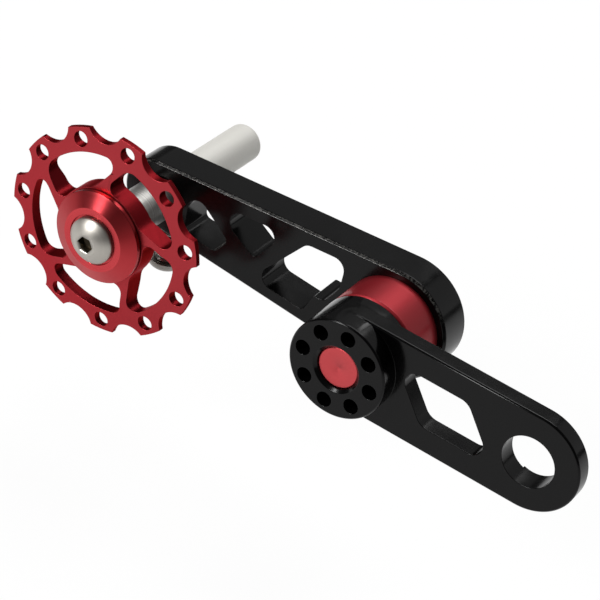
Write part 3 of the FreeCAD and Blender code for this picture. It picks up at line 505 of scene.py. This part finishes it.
# Wheel shaft: a satin aluminium shaft, turned with a thicker collar at the wheel end and tapped for the wheel screw.
# It slides through the main arm's narrow end to set the chain line.
WHEEL_AT = (-92.1 * MM, 0.0, 0.0)
SILVER = (0.575, 0.565, 0.53, 1)
SILVER_SHADE = (0.555, 0.545, 0.51, 1)
COLLAR_SILVER = (0.33, 0.323, 0.307, 1)
COLLAR_SHADE = (0.21, 0.206, 0.196, 1)
COLLAR_END = 15.1 * MM
SILVER_ROUGH, COLLAR_ROUGH, SILVER_METAL, COLLAR_METAL = 0.62, 0.38, 0.12, 0.75
SHAFT = [(0, 14.85, 0), (2.5, 14.85, 0), (2.5, 2.85, 0.2), (4.4, 2.85, 0.25), (4.4, 15.2, 0.2), (4.0, 15.2, 0.0),
         (4.0, 45.6, 0.8), (0, 45.6, 0)]

satin_silver, silver_tree, silver_skin = new_finish("satin_silver")
silver_at = silver_tree.nodes.new("ShaderNodeTexCoord").outputs["Object"]
silver_along = add_node(silver_tree, "ShaderNodeSeparateXYZ", {0: silver_at}).outputs["Y"]
silver_collar = ease(silver_tree, silver_along, COLLAR_END, COLLAR_END - 0.1 * MM)
silver_lathe = use_effect(silver_tree, turning, Centre=WHEEL_AT, Lines=4500.0, Bands=3600.0)
silver_band = ease(silver_tree, silver_lathe["Band"], 0.3, 0.7)
silver_base = mix_colours(silver_tree, silver_collar, mix_colours(silver_tree, silver_band, SILVER_SHADE, SILVER),
                          mix_colours(silver_tree, silver_band, COLLAR_SHADE, COLLAR_SILVER))
silver_tree.links.new(silver_base, silver_skin.inputs["Base Color"])
silver_tree.links.new(ease(silver_tree, silver_collar, 0.0, 1.0, SILVER_ROUGH, COLLAR_ROUGH),
                      silver_skin.inputs["Roughness"])
silver_tree.links.new(ease(silver_tree, silver_collar, 0.0, 1.0, SILVER_METAL, COLLAR_METAL),
                      silver_skin.inputs["Metallic"])
silver_bump = add_node(silver_tree, "ShaderNodeBump", {"Strength": 0.10, "Distance": GRAIN_DEPTH,
                                                       "Height": silver_lathe["Height"]})
silver_tree.links.new(silver_bump.outputs[0], silver_skin.inputs["Normal"])
wheel_shaft = turn_piece("wheel_shaft", SHAFT, False, WHEEL_AT, satin_silver)
mount(wheel_shaft, "shaft", "pulley_shaft")

# Clamp screw: a stainless button-head screw that goes up into the main arm from below and grips the shaft.
# Its thread is rolled and stands out under the arm.
CLAMP_AT = (-90.4 * MM, 19.5 * MM, 0.0)
# Painted shade: its steel is coloured much darker than the other stainless, as it sits in shade under the arm.
CLAMP_PAINTED_SHADE_STEEL = (0.24, 0.225, 0.21, 1)
CLAMP_SHADE = (0.18, 0.17, 0.155, 1)
CLAMP_TOP, CLAMP_FLATS, CLAMP_DEPTH = 17.5, 3.0, 1.4
CLAMP_SCREW = [(0, 4.1, 0), (1.6, 4.1, 0.05), (2.05, 4.6, 0.1), (2.05, 14.6, 0.1), (2.45, 15.3, 0.05),
               (3.8, 15.3, 0.12), (3.8, CLAMP_TOP, 1.8), (0, CLAMP_TOP, 0)]
THREAD_PITCH, THREAD_CORE, THREAD_CREST, THREAD_TOP, THREAD_BOTTOM = 0.8, 2.05, 2.45, -4.7, -14.7

clamp_steel = turned_finish("clamp_stainless", CLAMP_AT, CLAMP_PAINTED_SHADE_STEEL, CLAMP_SHADE, roughness=0.28, lines=6000.0,
                            bands=700.0, grip=0.04, Metallic=1.0)
clamp_blank = turn_piece("shaft_clamp_screw", CLAMP_SCREW, False, CLAMP_AT, clamp_steel, turn=(0.0, 0.0, 0.0),
                         rounds=10)

thread_shape, thread_in, thread_end = new_shape("rolled_thread", [
    ("Pitch", "Float", 0.0008), ("Core", "Float", 0.002), ("Depth", "Float", 0.0004), ("Turns", "Float", 10.0),
    ("Foot", "Vector", (0, 0, 0)), ("Finish", "Material", None)])
thread_rise = add_node(thread_shape, "ShaderNodeMath", {0: thread_in["Pitch"], 1: thread_in["Turns"]},
                       operation="MULTIPLY")
thread_path = add_node(thread_shape, "GeometryNodeCurveSpiral", {
    "Resolution": 28, "Rotations": thread_in["Turns"], "Start Radius": thread_in["Core"],
    "End Radius": thread_in["Core"], "Height": thread_rise.outputs[0]})
thread_ridge = add_node(thread_shape, "GeometryNodeCurvePrimitiveCircle", {"Resolution": 6,
                                                                           "Radius": thread_in["Depth"]})
thread_sweep = add_node(thread_shape, "GeometryNodeCurveToMesh", {
    "Curve": thread_path.outputs[0], "Profile Curve": thread_ridge.outputs[0], "Fill Caps": True})
thread_set = add_node(thread_shape, "GeometryNodeTransform", {"Geometry": thread_sweep.outputs[0],
                                                              "Translation": thread_in["Foot"]})
thread_join = add_node(thread_shape, "GeometryNodeJoinGeometry", {0: [thread_in["Geometry"], thread_set.outputs[0]]})
end_shape(thread_shape, thread_join.outputs[0], thread_in["Finish"], thread_end)

clamp_screw = broach(clamp_blank, CLAMP_FLATS, CLAMP_DEPTH, (CLAMP_AT[0], CLAMP_AT[1], -CLAMP_TOP * MM),
                     (0.0, 0.0, 0.0), clamp_steel)
clamp_screw = grow(clamp_screw, thread_shape, "shaft_clamp_screw", Pitch=THREAD_PITCH * MM, Core=THREAD_CORE * MM,
                   Depth=(THREAD_CREST - THREAD_CORE) * MM, Turns=(THREAD_TOP - THREAD_BOTTOM) / THREAD_PITCH,
                   Foot=(CLAMP_AT[0], CLAMP_AT[1], THREAD_BOTTOM * MM), Finish=clamp_steel)
mount(clamp_screw, "arm", "clamp_screw")

# Wheel bearing: a small sealed ball bearing pressed into the wheel, with steel rings and balls, a nylon cage and
# two rubber seals. The caps cover it, so it keeps the plain solids and gets real finishes.
BEARING_STEEL = (0.56, 0.55, 0.53, 1)
BEARING_SHADE = (0.47, 0.46, 0.44, 1)
SEAL_BLACK = (0.012, 0.012, 0.012, 1)
SEAL_SHADE = (0.020, 0.019, 0.019, 1)

bearing_steel = turned_finish("bearing_steel", WHEEL_AT, BEARING_STEEL, BEARING_SHADE, roughness=0.16, lines=8000.0,
                              bands=900.0, grip=0.03, Metallic=1.0)
cage_nylon = turned_finish("cage_nylon", WHEEL_AT, NYLON, NYLON_SHADE, roughness=0.5, lines=5000.0, bands=500.0,
                           grip=0.05)
seal_rubber = turned_finish("seal_rubber", WHEEL_AT, SEAL_BLACK, SEAL_SHADE, roughness=0.6, lines=4000.0, bands=900.0,
                            grip=0.15)
for node, finish in (("bearing_outer_ring", bearing_steel), ("bearing_inner_ring", bearing_steel),
                     ("bearing_balls", bearing_steel), ("bearing_cage", cage_nylon),
                     ("bearing_seal_front", seal_rubber), ("bearing_seal_rear", seal_rubber)):
    solids[node].data.materials.clear()
    solids[node].data.materials.append(finish)

# Chain wheel: eleven teeth and five leaning spokes cut from a turned aluminium blank, anodised red.
# Each tooth is drilled to save weight and thins towards its tip, and the chain's rollers sit between the teeth.
WHEEL_RED = (0.36, 0.035, 0.042, 1)
WHEEL_SHADE = (0.34, 0.032, 0.039, 1)
WALL_PAINTED_SHADE = (0.10, 0.0045, 0.0065, 1)
BLANK = [(6.51, -3.8, 0), (14.2, -3.8, 0), (17.0, -3.25, 0), (21.45, -2.85, 0), (21.45, -1.75, 0), (17.0, -1.05, 0),
         (15.2, -0.45, 0), (13.5, 0.1, 0), (11.5, 0.4, 0), (6.51, 0.4, 0)]
TEETH, TOOTH_ANGLE = 11, 115.6
SEAT_RADIUS, SEAT_CIRCLE, HOLE_RADIUS, HOLE_CIRCLE = 3.9, 22.95, 1.52, 19.05
SPOKES, SPOKE_ANGLE, SPOKE_OFFSET, SPOKE_WIDTH = 5, 57.0, 6.94, 1.44
WINDOW_HUB, WINDOW_RIM, WINDOW_CORNER, WINDOW_ARCH, WINDOW_ROOT = 9.8, 16.6, 1.8, 2.4, 3.5
CUTTER_HALF = 10.0 * MM
TUMBLED_EDGE = 0.10 * MM


def spoke_line(angle, side, radius):
    """Find the point at a radius on a line beside a spoke."""
    lean = math.radians(angle)
    along = math.sqrt(radius * radius - side * side)
    return Vector((math.cos(lean) * along - math.sin(lean) * side, math.sin(lean) * along + math.cos(lean) * side))


def arc(centre, start, stop, steps):
    """Walk the short way round an arc from one point to another."""
    radius, first, last = (start - centre).length, start - centre, stop - centre
    sweep = math.atan2(first.x * last.y - first.y * last.x, first.dot(last))
    begin = math.atan2(first.y, first.x)
    return [centre + radius * Vector((math.cos(begin + sweep * step / steps), math.sin(begin + sweep * step / steps)))
            for step in range(steps + 1)]


lead, trail = SPOKE_OFFSET + SPOKE_WIDTH / 2, SPOKE_OFFSET - SPOKE_WIDTH / 2
far = SPOKE_ANGLE + 360.0 / SPOKES
near_across = Vector((-math.sin(math.radians(SPOKE_ANGLE)), math.cos(math.radians(SPOKE_ANGLE))))
far_across = Vector((-math.sin(math.radians(far)), math.cos(math.radians(far))))
lead_top = spoke_line(SPOKE_ANGLE, lead + WINDOW_CORNER, WINDOW_RIM - WINDOW_CORNER)
trail_top = spoke_line(far, trail - WINDOW_ARCH, WINDOW_RIM - WINDOW_ARCH)
trail_foot = spoke_line(far, trail - WINDOW_CORNER, WINDOW_HUB + WINDOW_CORNER)
lead_foot = spoke_line(SPOKE_ANGLE, lead + WINDOW_ROOT, WINDOW_HUB + WINDOW_ROOT)
middle = Vector((0.0, 0.0))
window = arc(lead_top, lead_top - near_across * WINDOW_CORNER, lead_top.normalized() * WINDOW_RIM, 10)
window += arc(middle, lead_top.normalized() * WINDOW_RIM, trail_top.normalized() * WINDOW_RIM, 24)[1:]
window += arc(trail_top, trail_top.normalized() * WINDOW_RIM, trail_top + far_across * WINDOW_ARCH, 10)[1:]
window += arc(trail_foot, trail_foot + far_across * WINDOW_CORNER, trail_foot.normalized() * WINDOW_HUB, 10)
window += arc(middle, trail_foot.normalized() * WINDOW_HUB, lead_foot.normalized() * WINDOW_HUB, 16)[1:]
window += arc(lead_foot, lead_foot.normalized() * WINDOW_HUB, lead_foot - near_across * WINDOW_ROOT, 12)[1:]
window_line = outline("spoke_window", [(point.x, point.y, 0) for point in window], True)

wheel_shape, wheel_in, wheel_end = new_shape("chain_wheel", [
    ("Steps", "Int", 240), ("Teeth", "Int", 11), ("Tooth Angle", "Float", 0.0), ("Seat Radius", "Float", 0.003),
    ("Seat Circle", "Float", 0.022), ("Hole Radius", "Float", 0.0015), ("Hole Circle", "Float", 0.019),
    ("Windows", "Int", 5), ("Window", "Object", None), ("Place", "Vector", (0, 0, 0)),
    ("Turn", "Vector", (0, 0, 0)), ("Finish", "Material", None)])
wheel_path = add_node(wheel_shape, "GeometryNodeCurvePrimitiveCircle", {"Resolution": wheel_in["Steps"],
                                                                        "Radius": SPINDLE})
wheel_sweep = add_node(wheel_shape, "GeometryNodeCurveToMesh", {"Curve": wheel_path.outputs[0],
                                                                "Profile Curve": wheel_in["Geometry"]})
wheel_blank = add_node(wheel_shape, "GeometryNodeMergeByDistance", {"Geometry": wheel_sweep.outputs[0],
                                                                    "Distance": WELD})
half_pitch = add_node(wheel_shape, "ShaderNodeMath", {0: math.pi, 1: wheel_in["Teeth"]}, operation="DIVIDE")
seat_angle = add_node(wheel_shape, "ShaderNodeMath", {0: wheel_in["Tooth Angle"], 1: half_pitch.outputs[0]},
                      operation="ADD")
wheel_cutters = []
for angle, reach, size, sides in ((seat_angle.outputs[0], wheel_in["Seat Circle"], wheel_in["Seat Radius"], 72),
                                  (wheel_in["Tooth Angle"], wheel_in["Hole Circle"], wheel_in["Hole Radius"], 40)):
    ring = add_node(wheel_shape, "GeometryNodeMeshCircle", {"Vertices": wheel_in["Teeth"], "Radius": reach})
    twist = add_node(wheel_shape, "ShaderNodeCombineXYZ", {"Z": angle})
    spread = add_node(wheel_shape, "GeometryNodeTransform", {"Geometry": ring.outputs[0], "Rotation": twist.outputs[0]})
    cutter = add_node(wheel_shape, "GeometryNodeMeshCylinder", {"Vertices": sides, "Radius": size,
                                                                "Depth": 2 * CUTTER_HALF})
    array = add_node(wheel_shape, "GeometryNodeInstanceOnPoints", {"Points": spread.outputs[0],
                                                                   "Instance": cutter.outputs[0]})
    wheel_cutters.append(add_node(wheel_shape, "GeometryNodeRealizeInstances", {0: array.outputs[0]}).outputs[0])
window_drawn = add_node(wheel_shape, "GeometryNodeObjectInfo", {"Object": wheel_in["Window"]})
window_run = add_node(wheel_shape, "GeometryNodeCurvePrimitiveLine", {"Start": (0, 0, -CUTTER_HALF),
                                                                      "End": (0, 0, CUTTER_HALF)})
window_cutter = add_node(wheel_shape, "GeometryNodeCurveToMesh", {
    "Curve": window_run.outputs[0], "Profile Curve": window_drawn.outputs["Geometry"], "Fill Caps": True})
window_share = add_node(wheel_shape, "ShaderNodeMath", {0: 2 * math.pi, 1: wheel_in["Windows"]}, operation="DIVIDE")
window_turn = add_node(wheel_shape, "ShaderNodeMath", {0: wheel_shape.nodes.new("GeometryNodeInputIndex").outputs[0],
                                                       1: window_share.outputs[0]}, operation="MULTIPLY")
window_twist = add_node(wheel_shape, "ShaderNodeCombineXYZ", {"Z": window_turn.outputs[0]})
window_points = add_node(wheel_shape, "GeometryNodePoints", {"Count": wheel_in["Windows"]})
window_array = add_node(wheel_shape, "GeometryNodeInstanceOnPoints", {
    "Points": window_points.outputs[0], "Instance": window_cutter.outputs[0], "Rotation": window_twist.outputs[0]})
wheel_cutters.append(add_node(wheel_shape, "GeometryNodeRealizeInstances", {0: window_array.outputs[0]}).outputs[0])
wheel_cut = add_node(wheel_shape, "GeometryNodeMeshBoolean", {"Mesh 1": wheel_blank.outputs[0],
                                                              "Mesh 2": wheel_cutters},
                     operation="DIFFERENCE", solver="EXACT")
wheel_set = add_node(wheel_shape, "GeometryNodeTransform", {"Geometry": wheel_cut.outputs[0],
                                                            "Translation": wheel_in["Place"],
                                                            "Rotation": wheel_in["Turn"]})
end_shape(wheel_shape, wheel_set.outputs[0], wheel_in["Finish"], wheel_end)


def facing(tree):
    """Tell how squarely a face looks along the wheel's axis, from 0 on its walls to 1 on its flats."""
    normal = tree.nodes.new("ShaderNodeTexCoord").outputs["Normal"]
    return calc(tree, "ABSOLUTE", add_node(tree, "ShaderNodeSeparateXYZ", {0: normal}).outputs["Y"])


def paint_over(finish, mask, colour):
    """Lay one more colour over a finish's own where a mask says; here it lays painted shade."""
    tree = finish.node_tree
    base = tree.nodes["Principled BSDF"].inputs["Base Color"]
    tree.links.new(mix_colours(tree, mask, base.links[0].from_socket, colour), base)


wheel_red = turned_finish("wheel_red", WHEEL_AT, WHEEL_RED, WHEEL_SHADE, roughness=0.40, lines=6000.0, bands=350.0,
                          grip=0.06, Metallic=0.95, Specular_Tint=RED_SHEEN)
# Painted shade: the walls of the teeth, spokes and windows are darkened towards a deep red, as they stand in shade.
paint_over(wheel_red, ease(wheel_red.node_tree, facing(wheel_red.node_tree), 0.7, 0.3), WALL_PAINTED_SHADE)
chain_wheel = grow(outline("wheel_blank", BLANK, True, SPINDLE), wheel_shape, "chain_wheel", Steps=132, Teeth=TEETH,
                   Tooth_Angle=math.radians(TOOTH_ANGLE), Seat_Radius=SEAT_RADIUS * MM, Seat_Circle=SEAT_CIRCLE * MM,
                   Hole_Radius=HOLE_RADIUS * MM, Hole_Circle=HOLE_CIRCLE * MM, Windows=SPOKES, Window=window_line,
                   Place=WHEEL_AT, Turn=(math.pi / 2, 0.0, 0.0), Finish=wheel_red)
bpy.data.objects.remove(window_line)
chain_wheel = break_edges(chain_wheel, TUMBLED_EDGE, 28.0)
mount(chain_wheel, "wheel", "jockey_wheel")

# Hub caps: two aluminium cones turned on a lathe and anodised red, one on each side of the bearing.
# They stay still with the shaft while the wheel turns; the front one has a step that the screw's head sits in.
# Round the cones lies a painted fan of lighter and deeper red: reflection and shade painted into the colour by angle,
# as light draws them on a turned face.
CAP_RED = (0.52, 0.052, 0.060, 1)
CAP_SHADE = (0.50, 0.049, 0.057, 1)
CAP_PAINTED_SHADE = (0.11, 0.004, 0.005, 1)
CAP_PAINTED_LIGHT_FAN = [(0.0, 0.25), (0.12, 0.12), (0.40, 0.15), (0.50, 0.38), (0.585, 0.72), (0.68, 0.66), (0.745, 0.08),
           (0.785, 0.10), (0.83, 0.60), (0.90, 0.50), (0.96, 0.30), (1.0, 0.25)]
FRONT_CAP = [(2.6, -3.7, 0.05), (3.4, -3.7, 0.05), (3.4, -4.05, 0), (9.48, -4.05, 0.06), (9.48, -4.88, 0.1),
             (6.55, -6.25, 0.06), (5.15, -6.25, 0.08), (5.15, -5.8, 0), (2.6, -5.8, 0.05)]
REAR_CAP = [(2.6, 0.3, 0.05), (3.4, 0.3, 0.05), (3.4, 0.65, 0), (9.0, 0.65, 0.06), (9.0, 0.9, 0.08), (6.4, 2.85, 0.12),
            (2.6, 2.85, 0.05)]

cap_red = turned_finish("cap_red", WHEEL_AT, CAP_RED, CAP_SHADE, roughness=0.28, lines=8000.0, bands=300.0, grip=0.02,
                        Metallic=1.0, Anisotropic=0.8, Anisotropic_Rotation=0.25)
cap_tree = cap_red.node_tree
cap_axes = beside_axis(cap_tree, WHEEL_AT)[0]
cap_cone = ease(cap_tree, facing(cap_tree), 0.97, 0.93)
cap_angle = calc(cap_tree, "ADD", calc(cap_tree, "ARCTAN2", cap_axes["Z"], cap_axes["X"]), math.pi)
cap_painted_light_fan = add_node(cap_tree, "ShaderNodeValToRGB", {0: calc(cap_tree, "DIVIDE", cap_angle, 2 * math.pi)})
while len(cap_painted_light_fan.color_ramp.elements) < len(CAP_PAINTED_LIGHT_FAN):
    cap_painted_light_fan.color_ramp.elements.new(0.5)
for stop, (place, depth) in zip(cap_painted_light_fan.color_ramp.elements, CAP_PAINTED_LIGHT_FAN):
    stop.position, stop.color = place, (depth, depth, depth, 1)
# Painted shade and reflection: the cone's red is darkened by angle towards a deep red, more in some sectors than in
# others.
paint_over(cap_red, calc(cap_tree, "MULTIPLY", cap_painted_light_fan.outputs[0], cap_cone), CAP_PAINTED_SHADE)
front_cap = turn_piece("front_cone_cap", FRONT_CAP, True, WHEEL_AT, cap_red, steps=160)
mount(front_cap, "shaft", "front_cap")
rear_cap = turn_piece("rear_cone_cap", REAR_CAP, True, WHEEL_AT, cap_red, steps=160)
mount(rear_cap, "shaft", "rear_cap")

# Wheel screw: a stainless button-head screw with a hexagon socket.
# It goes through the caps and the bearing into the shaft and holds the wheel on.
DOME_CENTRE, DOME_RADIUS, DOME_FROM, DOME_STEP, DOME_POINTS = -2.73, 6.22, 20.7, 2.41, 13
HEAD_TOP, SOCKET_FLATS, SOCKET_DEPTH, SOCKET_REACH = -8.55, 3.0, 1.7, 1.78
WHEEL_SCREW = [(0, HEAD_TOP, 0)]
for step in range(DOME_POINTS):
    lean = math.radians(DOME_FROM + step * DOME_STEP)
    WHEEL_SCREW.append((DOME_RADIUS * math.sin(lean), DOME_CENTRE - DOME_RADIUS * math.cos(lean), 0))
WHEEL_SCREW += [(4.75, -6.5, 0.12), (4.75, -5.8, 0.12), (2.47, -5.8, 0.1), (2.47, 9.8, 0.05),
                (2.07, 10.2, 0.05), (0, 10.2, 0)]
SOCKET_PAINTED_SHADE = (0.10, 0.082, 0.055, 1)
DOME_STEEL = (0.47, 0.445, 0.405, 1)
DOME_SHADE = (0.40, 0.38, 0.345, 1)

wheel_steel = turned_finish("wheel_stainless", WHEEL_AT, DOME_STEEL, DOME_SHADE, roughness=0.44, lines=6000.0,
                            bands=300.0, grip=0.02, Metallic=1.0)
steel_tree = wheel_steel.node_tree
steel_axes, steel_radius = beside_axis(steel_tree, WHEEL_AT)
steel_depth = ease(steel_tree, steel_axes["Y"], (HEAD_TOP + 0.05) * MM, (HEAD_TOP + 0.55) * MM)
steel_inside = calc(steel_tree, "LESS_THAN", steel_radius, SOCKET_REACH * MM)
# Painted shade: inside the socket the steel is darkened to a brown, as shade falls into the recess.
paint_over(wheel_steel, calc(steel_tree, "MULTIPLY", steel_inside, steel_depth), SOCKET_PAINTED_SHADE)
wheel_screw = turn_piece("wheel_button_screw", WHEEL_SCREW, False, WHEEL_AT, wheel_steel, rounds=12)
wheel_screw = broach(wheel_screw, SOCKET_FLATS, SOCKET_DEPTH, (WHEEL_AT[0], HEAD_TOP * MM, 0.0),
                     (-math.pi / 2, 0.0, 0.0), wheel_steel)
mount(wheel_screw, "shaft", "wheel_screw")

# Studio: a wide white floor, low enough that the wheel clears it when the arm hangs fully down, a soft box at the
# front left, one overhead and two weaker ones behind. The camera stands where the photograph was taken, above and
# to the right of the hanger end.
PAPER = (0.90, 0.90, 0.90, 1)
PAPER_HALF = 12.0
PAPER_SHOWN, PAPER_MIRRORED = 0.95, 0.45
ARM_DROP = 28.0 * MM
VIEW_RIGHT, VIEW_UP, VIEW_BACK = (0.8201, 0.5374, 0.1965), (-0.4586, 0.4120, 0.7873), (0.3422, -0.7358, 0.5843)
VIEW_FROM = (0.08477, -0.2904, 0.23746)
LENS_LENGTH, SENSOR_WIDTH, NEAR_CLIP = 130.6, 36.0, 0.01
AIR_LIGHT = 0.10
LAMPS_AIM = Vector((-0.05, 0.01, 0.0))

sheet = bpy.data.meshes.new("paper_floor")
level = cad_box[0].z - ARM_DROP
sheet.from_pydata([(-PAPER_HALF, -PAPER_HALF, level), (PAPER_HALF, -PAPER_HALF, level),
                   (PAPER_HALF, PAPER_HALF, level), (-PAPER_HALF, PAPER_HALF, level)], [], [(0, 1, 2, 3)])
floor = bpy.data.objects.new("paper_floor", sheet)
bpy.context.scene.collection.objects.link(floor)
paper, paper_tree, paper_skin = new_finish("white_paper", Base_Color=PAPER, Roughness=0.9)
paper_ray = paper_tree.nodes.new("ShaderNodeLightPath").outputs
paper_glow = add_node(paper_tree, "ShaderNodeEmission", {"Color": (1, 1, 1, 1), "Strength": 1.0}).outputs[0]
paper_mirrored = calc(paper_tree, "MAXIMUM", paper_ray["Is Glossy Ray"], paper_ray["Is Transmission Ray"])
paper_seen = calc(paper_tree, "MAXIMUM", calc(paper_tree, "MULTIPLY", paper_ray["Is Camera Ray"], PAPER_SHOWN),
                  calc(paper_tree, "MULTIPLY", paper_mirrored, PAPER_MIRRORED))
paper_mix = add_node(paper_tree, "ShaderNodeMixShader", {0: paper_seen, 1: paper_skin.outputs[0], 2: paper_glow})
paper_tree.links.new(paper_mix.outputs[0], paper_tree.nodes["Material Output"].inputs["Surface"])
sheet.materials.append(paper)

world = bpy.data.worlds.new("studio_air")
bpy.context.scene.world = world
world.use_nodes = True
world.node_tree.nodes["Background"].inputs["Color"].default_value = (1, 1, 1, 1)
world.node_tree.nodes["Background"].inputs["Strength"].default_value = AIR_LIGHT


def soft_box(name, place, size, power):
    """Hang a soft lamp that faces the part."""
    lamp = bpy.data.lights.new(name, "AREA")
    lamp.shape, lamp.size, lamp.size_y, lamp.energy = "RECTANGLE", size[0], size[1], power
    holder = bpy.data.objects.new(name, lamp)
    holder.location = place
    holder.rotation_euler = (LAMPS_AIM - Vector(place)).to_track_quat("-Z", "Y").to_euler()
    bpy.context.scene.collection.objects.link(holder)


soft_box("front_left", (-0.50, -0.64, 0.52), (0.28, 0.28), 7.5)
soft_box("overhead", (-0.12, 0.42, 0.76), (0.5, 0.5), 5.5)
soft_box("behind", (-0.46, 0.90, 0.70), (1.0, 0.6), 0.5)
soft_box("right_rear", (0.60, 0.65, 0.55), (1.0, 1.0), 1.6)

lens = bpy.data.cameras.new("photo_view")
lens.sensor_width, lens.sensor_fit = SENSOR_WIDTH, "HORIZONTAL"
lens.lens, lens.clip_start = LENS_LENGTH, NEAR_CLIP
camera = bpy.data.objects.new("photo_view", lens)
camera.matrix_world = (Matrix.Translation(Vector(VIEW_FROM))
                       @ Matrix((VIEW_RIGHT, VIEW_UP, VIEW_BACK)).transposed().to_4x4())
bpy.context.scene.collection.objects.link(camera)
bpy.context.scene.camera = camera
bpy.context.scene.view_settings.view_transform = "Standard"
